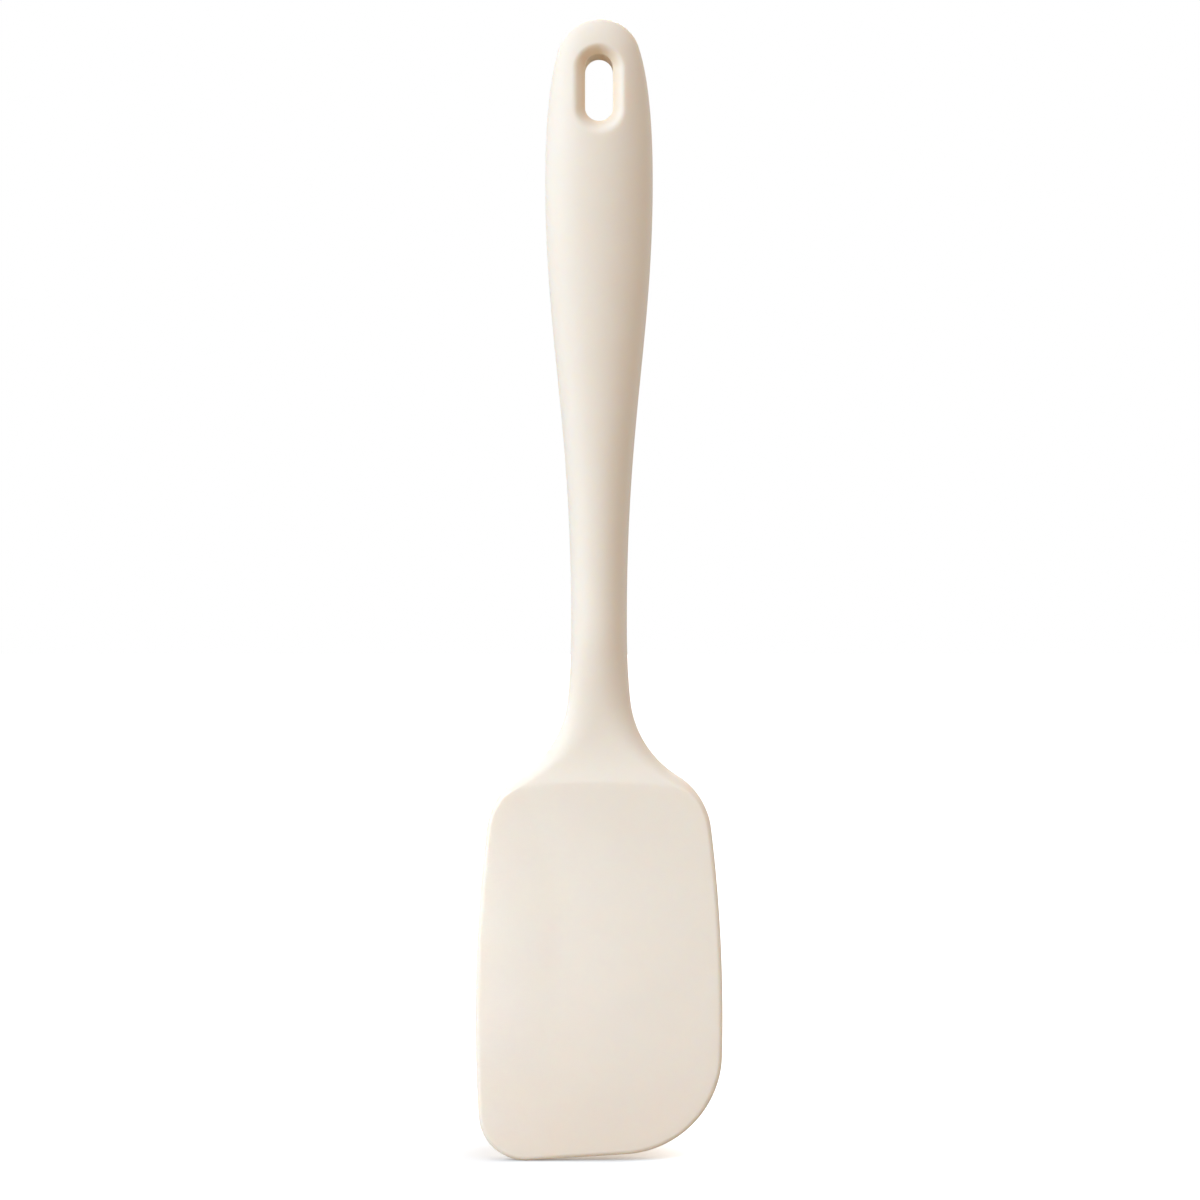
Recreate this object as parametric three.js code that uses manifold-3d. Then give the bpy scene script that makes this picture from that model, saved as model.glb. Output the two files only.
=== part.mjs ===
// A silicone spatula: a soft jacket in two halves, closed round a stiff moulded core.
// Sizes are millimetres. X runs across the blade, Y through its thickness with the front
// facing -Y, and Z up the handle. Heights are measured from the tip of the blade, and the
// finished group is lowered so that its origin is where a hook bears in the hanging slot.

import * as THREE from 'three';
import { mergeVertices } from 'three/addons/utils/BufferGeometryUtils.js';
import Module from 'manifold-3d';

const { clamp, degToRad, lerp, smoothstep } = THREE.MathUtils;
const wasm = await Module();
wasm.setup();

// Handle and neck, seen from the front
const LENGTH = 285;
const END_RADIUS = 10.5;
const END_TURN = degToRad(18); // where the round end hands over to the long side
const BELLY_WIDTH = 26.9;
const BELLY_DROP = 40; // from the handle's end to its widest part
const END_ROUND = 9.5; // rounding of the very end, seen from the side
const END_WALL = 6; // height of the straight wall between its two rounds
const NECK_WIDTH = 13.94;
const NECK_RISE = 17.3; // narrowest part of the neck above the centre of the flare

// Blade, seen from the front
const BLADE_WIDTH = 61.8;
const SIDE_RADIUS = 400; // bow of the long sides
const SIDE_DROP = 8; // widest part of the blade above the centre of the wide corner
const SHOULDER_RADIUS = 17.6;
const SHOULDER_HEIGHT = 81.2; // centre of the shoulder's round
const FLARE_RADIUS = 25.5; // hollow between neck and shoulder
const FLARE_TURN = degToRad(6); // where the neck hands over to that hollow
const NECK_SWELL = 0.75; // what each side of the neck has gained at the flare
const TIGHT_CORNER = 11.9;
const WIDE_CORNER = 25.5;
const WIDE_CORNER_LIFT = 1.5; // lowest point of the wide corner above the tip

// Thickness along the centreline
const END_THICKNESS = 12.6;
const HANDLE_THICKNESS = 15;
const NECK_THICKNESS = 12.2;
const SCOOP_THICKNESS = 6.4;
const SCOOP_RISE = 10.5; // thinnest part of the scoop above the ridge
const RIDGE_THICKNESS = 10;
const RIDGE_RISE = 13.8; // ridge above the shoulder's centre
const TIP_THICKNESS = 2.8;
const EDGE_ROUND = 1.3; // rounding along the front and back of the blade's edge
const EDGE_DROP = 5; // that edge is fully formed this far below the shoulder's centre
const RIDGE_ROUND = 2.6; // rounding of the edge at the ends of the ridge
const ROUND_RISE = 20; // the neck is fully round this far above the ridge
const RIDGE_CRISPNESS = 45; // exponent of the soft minimum that rounds the ridge

// Hanging slot
const SLOT_WIDTH = 7;
const SLOT_LENGTH = 16.9;
const SLOT_DROP = 8.9; // from the handle's end to the top of the slot
const LIP_TOP = 1.6; // width of its flared lip, at the top, sides and bottom
const LIP_SIDE = 2.45;
const LIP_BOTTOM = 3;
const LIP_DEPTH = 2.5; // how far the lip slopes down into the slot
const LIP_ROUND = 0.7; // rounding where the lip starts

// Core
const SKIN = 1.8; // silicone over the core
const EYE_WALL = 2.2; // silicone between the slot and the core
const CORE_EDGE = 1.2; // rounding of the core's paddle and eye
const PADDLE_MARGIN = 11; // all-silicone border at the sides of the blade
const PADDLE_HEIGHT = 40; // lower end of the core's paddle
const PADDLE_CORNER = 10;
const FIT = 0.3; // clearance between core and jacket

// Windows and holes in the core, which the silicone fills
const WINDOW_WIDTH = 6;
const WINDOW_LENGTH = 14;
const WINDOW_PITCH = 20;
const WINDOW_DROP = 45; // from the handle's end to the middle of the first window
const WINDOW_STOP = 36; // middle of the last window, at least this far above the neck
const LOCK_DIAMETER = 5;
const LOCK_PITCH = 10;
const LOCK_MARGIN = 5.5; // from a hole's centre to the edge of the paddle
const LOCK_DROP = 13; // first row below the ridge

// Fineness of the surfaces
const CURVE_STEPS = 40; // for each curve of an outline
const JACKET_MESH = { eyeRibs: 16, footRibs: 44, edgeSteps: 5, innerSteps: 4 };
const CORE_MESH = { eyeRibs: 9, footRibs: 14, edgeSteps: 3, innerSteps: 2 };
const PEG_STEPS = 3; // for each quarter of a peg's round
const RIB_SLANT = 8; // droop of the ribs just below the slot, levelling out by the neck
const SPINE_SHARE = 0.35; // where a foot's ribs meet, as a share of its height

// Heights and centres that follow from the sizes above
const WIDEST_HEIGHT = WIDE_CORNER_LIFT + WIDE_CORNER + SIDE_DROP;
const SIDE_CENTRE = new THREE.Vector2(BLADE_WIDTH / 2 - SIDE_RADIUS, WIDEST_HEIGHT);
const SHOULDER = roundInsideSide(SHOULDER_RADIUS, SHOULDER_HEIGHT);
const FLARE = flareCentre();
const NECK_HEIGHT = FLARE.y + NECK_RISE;
const BELLY_HEIGHT = LENGTH - BELLY_DROP;
const END_CENTRE = LENGTH - END_RADIUS;
const RIDGE_HEIGHT = SHOULDER_HEIGHT + RIDGE_RISE;
const SCOOP_HEIGHT = RIDGE_HEIGHT + SCOOP_RISE;
const EDGE_HEIGHT = SHOULDER_HEIGHT - EDGE_DROP;
const SLOT_TOP = LENGTH - SLOT_DROP;
const PADDLE_FAN_HEIGHT = PADDLE_HEIGHT + PADDLE_CORNER;

// The centre of a round, at this height, that the blade's right side runs smoothly into.
function roundInsideSide(radius, height) {
  const reach = SIDE_RADIUS - radius;
  const rise = height - SIDE_CENTRE.y;
  return new THREE.Vector2(SIDE_CENTRE.x + Math.sqrt(reach * reach - rise * rise), height);
}

// The centre of the hollow that touches the shoulder's round and the side of the neck.
function flareCentre() {
  const x = NECK_WIDTH / 2 + NECK_SWELL + FLARE_RADIUS;
  const reach = FLARE_RADIUS + SHOULDER_RADIUS;
  const across = x - SHOULDER.x;
  return new THREE.Vector2(x, SHOULDER.y + Math.sqrt(reach * reach - across * across));
}

// The direction from the centre of the blade's side to a round inside it.
function sideAngle(centre) {
  return Math.atan2(centre.y - SIDE_CENTRE.y, centre.x - SIDE_CENTRE.x);
}

// An S-curve down to a point, leaving along one direction and arriving along another.
function easeTo(path, leave, leaveShare, arrive, arriveShare, target) {
  const start = path.currentPoint.clone();
  const run = start.y - target.y;
  const first = start.clone().addScaledVector(leave, leaveShare * run);
  const last = target.clone().addScaledVector(arrive, -arriveShare * run);
  path.bezierCurveTo(first.x, first.y, last.x, last.y, target.x, target.y);
}

function pointsOf(path) {
  const points = path.getPoints(CURVE_STEPS);
  return points.filter((point, i) => i === 0 || point.distanceTo(points[i - 1]) > 1e-6);
}

// The jacket's right side, from the end of the handle down to the widest part of the blade.
function jacketSide() {
  const down = new THREE.Vector2(0, -1);
  const endWay = new THREE.Vector2(Math.sin(END_TURN), -Math.cos(END_TURN));
  const flareWay = new THREE.Vector2(Math.sin(FLARE_TURN), -Math.cos(FLARE_TURN));
  const flareStart = FLARE.clone();
  flareStart.x -= FLARE_RADIUS * Math.cos(FLARE_TURN);
  flareStart.y -= FLARE_RADIUS * Math.sin(FLARE_TURN);
  const flareEnd = Math.atan2(SHOULDER.y - FLARE.y, SHOULDER.x - FLARE.x);
  const shoulderEnd = sideAngle(SHOULDER);

  const path = new THREE.Path();
  path.absarc(0, END_CENTRE, END_RADIUS, Math.PI / 2, END_TURN, true);
  easeTo(path, endWay, 0.25, down, 0.43, new THREE.Vector2(BELLY_WIDTH / 2, BELLY_HEIGHT));
  easeTo(path, down, 0.36, down, 0.46, new THREE.Vector2(NECK_WIDTH / 2, NECK_HEIGHT));
  easeTo(path, down, 0.35, flareWay, 0.35, flareStart);
  path.absarc(FLARE.x, FLARE.y, FLARE_RADIUS, Math.PI + FLARE_TURN, flareEnd, false);
  path.absarc(SHOULDER.x, SHOULDER.y, SHOULDER_RADIUS, flareEnd + Math.PI, shoulderEnd, true);
  path.absarc(SIDE_CENTRE.x, SIDE_CENTRE.y, SIDE_RADIUS, shoulderEnd, 0, true);
  return pointsOf(path);
}

// The lower edge of the blade, from its widest part on the right round to that on the left.
function jacketFoot() {
  const wide = roundInsideSide(WIDE_CORNER, WIDE_CORNER_LIFT + WIDE_CORNER);
  const tight = roundInsideSide(TIGHT_CORNER, TIGHT_CORNER);
  const across = wide.x + tight.x;
  const rise = wide.y - tight.y;
  const dip = Math.asin((WIDE_CORNER - TIGHT_CORNER) / Math.hypot(across, rise));
  const under = Math.atan2(rise, across) - dip - Math.PI / 2;
  const wideStart = sideAngle(wide);
  const tightEnd = -Math.PI - sideAngle(tight);

  const path = new THREE.Path();
  path.absarc(SIDE_CENTRE.x, SIDE_CENTRE.y, SIDE_RADIUS, 0, wideStart, true);
  path.absarc(wide.x, wide.y, WIDE_CORNER, wideStart, under, true);
  path.absarc(-tight.x, tight.y, TIGHT_CORNER, under, tightEnd, true);
  path.absarc(-SIDE_CENTRE.x, SIDE_CENTRE.y, SIDE_RADIUS, tightEnd, -Math.PI, true);
  return pointsOf(path);
}

// The core's right side: the jacket's side drawn in, further in the blade than in the handle.
function coreSide(grow) {
  const side = jacketSide();
  const moved = side.map((point, i) => {
    const before = i > 0 ? side[i - 1] : new THREE.Vector2(-side[1].x, side[1].y);
    const after = side[i + 1] ?? point;
    const along = after.clone().sub(before).normalize();
    const slim = smoothstep(point.y, SHOULDER_HEIGHT, FLARE.y);
    const inset = lerp(PADDLE_MARGIN, SKIN, slim) - grow;
    return new THREE.Vector2(point.x + along.y * inset, point.y - along.x * inset);
  });
  const kept = moved.filter((point) => point.y > PADDLE_FAN_HEIGHT);
  return [...kept, new THREE.Vector2(halfWidthAt(moved, PADDLE_FAN_HEIGHT), PADDLE_FAN_HEIGHT)];
}

// The lower end of the core's paddle, from its right side to its left.
function coreFoot(halfWidth, grow) {
  const radius = PADDLE_CORNER + grow;
  const path = new THREE.Path();
  path.absarc(halfWidth - radius, PADDLE_FAN_HEIGHT, radius, 0, -Math.PI / 2, true);
  path.absarc(radius - halfWidth, PADDLE_FAN_HEIGHT, radius, -Math.PI / 2, -Math.PI, true);
  return pointsOf(path);
}

// Half the width of an outline at a height, read off its right side.
function halfWidthAt(side, height) {
  const below = side.findIndex((point) => point.y <= height);
  if (below <= 0) return side.at(below).x;
  const upper = side[below - 1];
  const lower = side[below];
  return lerp(lower.x, upper.x, (height - lower.y) / (upper.y - lower.y));
}

// The hanging slot as it shows in a piece: a round-ended slot, widened by a wall.
function slotIn(wall) {
  const radius = SLOT_WIDTH / 2;
  return {
    radius: radius + wall,
    upper: SLOT_TOP - radius,
    lower: SLOT_TOP - SLOT_LENGTH + radius,
  };
}

function slotBottom(slot) {
  return slot.lower - slot.radius;
}

// How far the lip of the slot sinks below the surface round it.
function lipSink(slot, x, z) {
  const past = z - clamp(z, slot.lower, slot.upper);
  const upright = Math.abs(past) / Math.max(Math.hypot(x, past), slot.radius);
  const width = lerp(LIP_SIDE, past > 0 ? LIP_TOP : LIP_BOTTOM, upright);
  return (LIP_DEPTH / width) * softRamp(width - slotDistance(slot, x, z), LIP_ROUND);
}

// A ramp that rises from zero, with a round where it starts.
function softRamp(rise, round) {
  if (Math.abs(rise) > round) return Math.max(0, rise);
  return (rise + round) ** 2 / (4 * round);
}

function slotHalf(slot) {
  const path = new THREE.Path();
  path.absarc(0, slot.upper, slot.radius, Math.PI / 2, 0, true);
  path.absarc(0, slot.lower, slot.radius, 0, -Math.PI / 2, true);
  return pointsOf(path);
}

// How far a point is outside the slot.
function slotDistance(slot, x, z) {
  const level = clamp(z, slot.lower, slot.upper);
  return Math.hypot(x, z - level) - slot.radius;
}

// The nearest distance from a point to a closed line.
function lineDistance(line, x, z) {
  let nearest = Infinity;
  line.forEach((end, i) => {
    const start = line.at(i - 1);
    const alongX = end.x - start.x;
    const alongZ = end.y - start.y;
    const share = ((x - start.x) * alongX + (z - start.y) * alongZ) / (alongX ** 2 + alongZ ** 2);
    const place = clamp(share, 0, 1);
    const gap = Math.hypot(start.x + place * alongX - x, start.y + place * alongZ - z);
    nearest = Math.min(nearest, gap);
  });
  return nearest;
}

// A moulding's front view: right side, foot, slot, and the whole outline as a closed line.
function frontView(side, foot, slot) {
  const mirrored = side.slice(1, -1).map((point) => new THREE.Vector2(-point.x, point.y));
  const outline = [...side, ...foot.slice(1), ...mirrored.reverse()];
  return { side, foot, slot, outline };
}

// Half the thickness of the handle, neck and scoop on the centreline.
function stemDepth(z) {
  if (z > BELLY_HEIGHT) {
    return lerp(HANDLE_THICKNESS, END_THICKNESS, smoothstep(z, BELLY_HEIGHT, LENGTH)) / 2;
  }
  if (z > NECK_HEIGHT) {
    return lerp(NECK_THICKNESS, HANDLE_THICKNESS, smoothstep(z, NECK_HEIGHT, BELLY_HEIGHT)) / 2;
  }
  if (z > SCOOP_HEIGHT) {
    return lerp(SCOOP_THICKNESS, NECK_THICKNESS, smoothstep(z, SCOOP_HEIGHT, NECK_HEIGHT)) / 2;
  }
  const climb = ((SCOOP_HEIGHT - z) / SCOOP_RISE) ** 2;
  return lerp(SCOOP_THICKNESS, RIDGE_THICKNESS, climb) / 2;
}

// Half the thickness between the blade's two flat faces.
function bladeDepth(z) {
  return lerp(TIP_THICKNESS, RIDGE_THICKNESS, z / RIDGE_HEIGHT) / 2;
}

// The smaller of two depths, with a small round where they cross.
function softMinimum(a, b) {
  if (a <= 0 || b <= 0) return 0;
  const ratio = Math.min(a, b) / Math.max(a, b);
  return Math.min(a, b) / (1 + ratio ** RIDGE_CRISPNESS) ** (1 / RIDGE_CRISPNESS);
}

// A quarter-round: 0 at an edge, 1 once the rounding is complete.
function rounded(share) {
  const left = 1 - clamp(share, 0, 1);
  return Math.sqrt(1 - left * left);
}

// How far the round sides reach in from the outline: to the centreline on the handle and neck,
// less at the handle's end, and narrowing above the ridge to the rounded edge of the blade.
function roundReach(view, z) {
  if (z > BELLY_HEIGHT) {
    return lerp(BELLY_WIDTH / 2, END_ROUND, smoothstep(z, BELLY_HEIGHT, LENGTH));
  }
  const edge = lerp(EDGE_ROUND, RIDGE_ROUND, smoothstep(z, EDGE_HEIGHT, RIDGE_HEIGHT));
  const full = smoothstep(z, RIDGE_HEIGHT, RIDGE_HEIGHT + ROUND_RISE);
  return lerp(edge, lineDistance(view.outline, 0, z), full);
}

// Half the height of the straight wall along the outline: along the edge of the blade, fading
// out by the scoop, and round the end of the handle, fading in beside the slot.
function wallDepth(z) {
  const blade = (bladeDepth(z) - EDGE_ROUND) * (1 - smoothstep(z, EDGE_HEIGHT, SCOOP_HEIGHT));
  return blade + (END_WALL / 2) * smoothstep(z, SLOT_TOP - SLOT_LENGTH, LENGTH);
}

// Half the jacket's thickness at a point of its front view.
function jacketDepth(view, x, z) {
  const inside = lineDistance(view.outline, x, z);
  const wall = wallDepth(z);
  const stem = lerp(wall, stemDepth(z), rounded(inside / roundReach(view, z)));
  const blade = lerp(wall, bladeDepth(z), rounded(inside / EDGE_ROUND));
  return softMinimum(stem, blade) - lipSink(view.slot, x, z);
}

// Half the core's thickness at a point of its front view, a skin below the jacket's surface.
function coreDepth(jacketView, view, grow, x, z) {
  const inside = lineDistance(view.outline, x, z);
  const lip = rounded(slotDistance(view.slot, x, z) / CORE_EDGE);
  const outer = softMinimum(stemDepth(z), bladeDepth(z));
  const reach = Math.max(CORE_EDGE, roundReach(jacketView, z) - SKIN + grow);
  return (outer - SKIN + grow) * rounded(inside / reach) * lip;
}

// Evenly spaced points along an open line.
function spread(line, count) {
  const path = new THREE.CurvePath();
  line.slice(1).forEach((point, i) => path.add(new THREE.LineCurve(line[i], point)));
  return path.getSpacedPoints(count);
}

// Heights from one level down to the next, closing up on the first where eased.
function levels(from, to, count, eased = false) {
  const shares = Array.from({ length: count }, (_, i) => (i + 1) / count);
  return shares.map((t) => lerp(from, to, eased ? 1 - Math.cos((t * Math.PI) / 2) : t));
}

function jacketLevels(view) {
  const bottom = slotBottom(view.slot);
  const lip = bottom - LIP_BOTTOM;
  return [
    ...levels(bottom, lip, 4, true),
    ...levels(lip, NECK_HEIGHT, 16),
    ...levels(NECK_HEIGHT, SCOOP_HEIGHT, 8),
    ...levels(SCOOP_HEIGHT, RIDGE_HEIGHT, 7),
    ...levels(RIDGE_HEIGHT, EDGE_HEIGHT, 12),
    ...levels(EDGE_HEIGHT, WIDEST_HEIGHT, 4),
  ];
}

function coreLevels(view) {
  const bottom = slotBottom(view.slot);
  return [
    ...levels(bottom, bottom - CORE_EDGE, 2, true),
    ...levels(bottom - CORE_EDGE, NECK_HEIGHT, 9),
    ...levels(NECK_HEIGHT, SCOOP_HEIGHT, 5),
    ...levels(SCOOP_HEIGHT, RIDGE_HEIGHT, 4),
    ...levels(RIDGE_HEIGHT, PADDLE_FAN_HEIGHT, 6),
  ];
}

// Ribs across the front view, clockwise from the end of the handle. Each runs in from the
// outline: to the rim of the slot (an open rib), to the centreline, or to the foot's spine.
function ribsAcross(view, heights, mesh) {
  const bottom = slotBottom(view.slot);
  const outerPoint = (z) => {
    const level = z - RIB_SLANT * smoothstep(z, NECK_HEIGHT, bottom);
    return new THREE.Vector2(halfWidthAt(view.side, level), level);
  };
  const beside = view.side.filter((point) => point.y > bottom - RIB_SLANT);
  beside.push(outerPoint(bottom));
  const rim = spread(slotHalf(view.slot), mesh.eyeRibs);
  const right = spread(beside, mesh.eyeRibs).map((outer, i) => ({ outer, inner: rim[i], open: true }));
  heights.forEach((z) => {
    right.push({ outer: outerPoint(z), inner: new THREE.Vector2(0, z), open: false });
  });
  const spineTop = view.foot[0].y;
  const spineFoot = lerp(Math.min(...view.foot.map((point) => point.y)), spineTop, SPINE_SHARE);
  const lower = spread(view.foot, mesh.footRibs).slice(1, -1);
  const below = lower.map((outer, i) => {
    const share = Math.abs(2 * (i + 1) - mesh.footRibs) / mesh.footRibs;
    const inner = new THREE.Vector2(0, lerp(spineFoot, spineTop, share * share));
    return { outer, inner, open: false };
  });
  const flip = (point) => new THREE.Vector2(-point.x, point.y);
  const left = right.slice(1).map((rib) => ({
    outer: flip(rib.outer),
    inner: flip(rib.inner),
    open: rib.open,
  }));
  return [...right, ...below, ...left.reverse()];
}

// Places along a rib, as shares of its length, close together over the rounded edge.
function ribShares(edgeShare, mesh) {
  const quarter = (i, count) => ((i / count) * Math.PI) / 2;
  const edge = levels(0, mesh.edgeSteps, mesh.edgeSteps);
  const inner = levels(0, mesh.innerSteps, mesh.innerSteps);
  return [
    0,
    ...edge.map((i) => edgeShare * (1 - Math.cos(quarter(i, mesh.edgeSteps)))),
    ...inner.map((i) => lerp(edgeShare, 1, Math.sin(quarter(i, mesh.innerSteps)))),
  ];
}

// The points of one rib on the front surface.
function ribPoints(rib, edgeWidth, depth, mesh) {
  const edgeShare = Math.min(0.5, edgeWidth / rib.outer.distanceTo(rib.inner));
  return ribShares(edgeShare, mesh).map((share) => {
    const place = rib.outer.clone().lerp(rib.inner, share);
    return new THREE.Vector3(place.x, -depth(place.x, place.y), place.y);
  });
}

// A closed moulding, the same in front of and behind the parting plane, with straight walls
// through it where its outline or its slot has depth.
function mouldingOf(ribs, edgeWidth, depth, mesh) {
  const rows = ribs.map((rib) => ribPoints(rib, edgeWidth(rib.outer.y), depth, mesh));
  const back = (point) => new THREE.Vector3(point.x, -point.y, point.z);
  const corners = [];
  const addPatch = (a, b, c, d) => corners.push(a, b, c, a, c, d);
  const addWall = (from, to) => addPatch(from, to, back(to), back(from));
  rows.forEach((row, i) => {
    const following = (i + 1) % rows.length;
    const next = rows[following];
    row.slice(1).forEach((inner, j) => {
      const patch = [row[j], inner, next[j + 1], next[j]];
      addPatch(...patch);
      addPatch(...patch.map(back).reverse());
    });
    addWall(row[0], next[0]);
    if (ribs[i].open && ribs[following].open) addWall(next.at(-1), row.at(-1));
  });
  return solidOf(new THREE.BufferGeometry().setFromPoints(corners));
}

// A surface as a solid for joining and cutting.
function solidOf(geometry) {
  geometry.deleteAttribute('normal');
  geometry.deleteAttribute('uv');
  const merged = mergeVertices(geometry, 1e-4);
  const corners = [];
  for (let i = 0; i < merged.index.count; i += 3) {
    const [a, b, c] = merged.index.array.slice(i, i + 3);
    if (a !== b && b !== c && c !== a) corners.push(a, b, c);
  }
  return new wasm.Manifold(new wasm.Mesh({
    numProp: 3,
    vertProperties: merged.attributes.position.array,
    triVerts: new Uint32Array(corners),
  }));
}

function geometryOf(solid) {
  const mesh = solid.getMesh();
  const geometry = new THREE.BufferGeometry();
  geometry.setAttribute('position', new THREE.BufferAttribute(mesh.vertProperties, 3));
  geometry.setIndex(new THREE.BufferAttribute(mesh.triVerts, 1));
  geometry.computeVertexNormals();
  return geometry;
}

// A round-ended peg through the core, upright in the front view, centred on a point.
function pegThrough(x, z, width, length) {
  const radius = width / 2;
  const straight = (length - width) / 2;
  const shape = new THREE.Shape();
  shape.absarc(x, z + straight, radius, 0, Math.PI, false);
  shape.absarc(x, z - straight, radius, Math.PI, 2 * Math.PI, false);
  const geometry = new THREE.ExtrudeGeometry(shape, {
    depth: HANDLE_THICKNESS,
    bevelEnabled: false,
    curveSegments: PEG_STEPS,
  });
  geometry.rotateX(Math.PI / 2);
  geometry.translate(0, HANDLE_THICKNESS / 2, 0);
  return solidOf(geometry);
}

// The silicone pegs of the handle, in a column down the middle of the core.
function windowPegs(shrink) {
  const first = LENGTH - WINDOW_DROP;
  const run = first - NECK_HEIGHT - WINDOW_STOP;
  const count = Math.max(0, Math.floor(run / WINDOW_PITCH) + 1);
  const middles = Array.from({ length: count }, (_, i) => first - i * WINDOW_PITCH);
  return middles.map((z) => pegThrough(0, z, WINDOW_WIDTH - shrink, WINDOW_LENGTH - shrink));
}

// The silicone pegs of the blade, in staggered rows over the core's paddle.
function lockPegs(paddleSide, shrink) {
  const pegs = [];
  const stop = PADDLE_HEIGHT + LOCK_MARGIN;
  let shift = 0;
  for (let z = RIDGE_HEIGHT - LOCK_DROP; z >= stop; z -= LOCK_PITCH) {
    const reach = halfWidthAt(paddleSide, Math.max(z, PADDLE_FAN_HEIGHT)) - LOCK_MARGIN;
    const each = Math.floor((reach - shift) / LOCK_PITCH);
    for (let i = shift > 0 ? -each - 1 : -each; i <= each; i += 1) {
      const size = LOCK_DIAMETER - shrink;
      pegs.push(pegThrough(i * LOCK_PITCH + shift, z, size, size));
    }
    shift = LOCK_PITCH / 2 - shift;
  }
  return pegs;
}

// The core, or the room it takes up in the jacket when it is grown by the clearance.
function makeCore(jacketView, grow) {
  const side = coreSide(grow);
  const view = frontView(side, coreFoot(side.at(-1).x, grow), slotIn(EYE_WALL - grow));
  const depth = (x, z) => coreDepth(jacketView, view, grow, x, z);
  const edgeWidth = (z) => Math.max(CORE_EDGE, roundReach(jacketView, z) - SKIN);
  const body = mouldingOf(ribsAcross(view, coreLevels(view), CORE_MESH), edgeWidth, depth, CORE_MESH);
  const pegs = [...windowPegs(2 * grow), ...lockPegs(coreSide(0), 2 * grow)];
  return pegs.reduce((solid, peg) => solid.subtract(peg), body);
}

function makeJacket(view) {
  const depth = (x, z) => jacketDepth(view, x, z);
  const edgeWidth = (z) => roundReach(view, z);
  return mouldingOf(ribsAcross(view, jacketLevels(view), JACKET_MESH), edgeWidth, depth, JACKET_MESH);
}

// One side of the parting plane: -1 in front, 1 behind.
function halfSpace(way) {
  const box = new THREE.BoxGeometry(2 * BLADE_WIDTH, HANDLE_THICKNESS, 2 * LENGTH);
  box.translate(0, (way * HANDLE_THICKNESS) / 2, LENGTH / 2);
  return solidOf(box);
}

function addPiece(group, name, solid, material) {
  const mesh = new THREE.Mesh(geometryOf(solid), material);
  mesh.name = name;
  group.add(mesh);
}

function makeSpatula() {
  const silicone = new THREE.MeshStandardMaterial({ color: 0xe9dfd1, roughness: 0.55 });
  const nylon = new THREE.MeshStandardMaterial({ color: 0xc9c2b0, roughness: 0.5 });
  const view = frontView(jacketSide(), jacketFoot(), slotIn(0));
  const jacket = makeJacket(view).subtract(makeCore(view, FIT));

  const group = new THREE.Group();
  group.name = 'spatula';
  addPiece(group, 'front_skin', jacket.intersect(halfSpace(-1)), silicone);
  addPiece(group, 'back_skin', jacket.intersect(halfSpace(1)), silicone);
  addPiece(group, 'core', makeCore(view, 0), nylon);
  group.position.z = -SLOT_TOP;
  return group;
}

export default makeSpatula();
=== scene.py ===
"""A studio picture of a silicone spatula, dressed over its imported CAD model.

The CAD skins are two halves with plain facets. Here one seamless jacket stands for both, and follows
the same sizes and formulas finely enough to shade smoothly. Sizes are millimetres where a comment
doesn't say otherwise, and heights start at the tip of the blade. The front of the spatula faces -Y.
"""

import math

import bmesh
import bpy
import numpy as np
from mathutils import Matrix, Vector
from mathutils.kdtree import KDTree

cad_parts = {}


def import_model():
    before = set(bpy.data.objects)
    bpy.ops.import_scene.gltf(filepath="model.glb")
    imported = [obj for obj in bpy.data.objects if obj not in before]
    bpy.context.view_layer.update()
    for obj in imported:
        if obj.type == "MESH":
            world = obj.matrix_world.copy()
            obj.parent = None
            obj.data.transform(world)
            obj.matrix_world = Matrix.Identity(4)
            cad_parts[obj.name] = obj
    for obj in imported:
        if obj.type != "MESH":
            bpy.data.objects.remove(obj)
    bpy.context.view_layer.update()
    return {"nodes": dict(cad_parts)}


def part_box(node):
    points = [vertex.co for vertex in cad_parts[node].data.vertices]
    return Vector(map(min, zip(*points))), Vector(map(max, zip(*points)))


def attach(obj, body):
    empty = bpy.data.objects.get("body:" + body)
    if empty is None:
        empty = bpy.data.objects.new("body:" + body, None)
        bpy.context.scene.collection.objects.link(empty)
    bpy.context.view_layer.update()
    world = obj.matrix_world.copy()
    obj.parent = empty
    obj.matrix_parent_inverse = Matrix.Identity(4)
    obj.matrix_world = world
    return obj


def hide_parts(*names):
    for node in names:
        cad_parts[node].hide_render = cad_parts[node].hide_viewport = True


MILLIMETRE = 0.001  # in metres
TINY = 1e-9  # keeps a division away from zero

# Handle and neck, seen from the front
LENGTH = 285
END_RADIUS = 10.5
END_TURN = math.radians(18)  # where the round end hands over to the long side
BELLY_WIDTH = 26.9
BELLY_DROP = 40  # from the handle's end to its widest part
END_ROUND = 9.5  # rounding of the very end, seen from the side
END_WALL = 6  # height of the straight wall between its two rounds
NECK_WIDTH = 13.94
NECK_RISE = 17.3  # narrowest part of the neck above the centre of the flare

# Blade, seen from the front
BLADE_WIDTH = 61.8
SIDE_RADIUS = 400  # bow of the long sides
SIDE_DROP = 8  # widest part of the blade above the centre of the wide corner
SHOULDER_RADIUS = 17.6
SHOULDER_HEIGHT = 81.2  # centre of the shoulder's round
FLARE_RADIUS = 25.5  # hollow between neck and shoulder
FLARE_TURN = math.radians(6)  # where the neck hands over to that hollow
NECK_SWELL = 0.75  # what each side of the neck has gained at the flare
TIGHT_CORNER = 11.9
WIDE_CORNER = 25.5
WIDE_CORNER_LIFT = 1.5  # lowest point of the wide corner above the tip

# How far each S-curve of the outline keeps its first and last direction, as shares of its height
BELLY_CURVE = (0.25, 0.43)  # from the round end to the belly of the handle
NECK_CURVE = (0.36, 0.46)  # from there to the neck
FLARE_CURVE = (0.35, 0.35)  # from there to the flare

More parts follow.
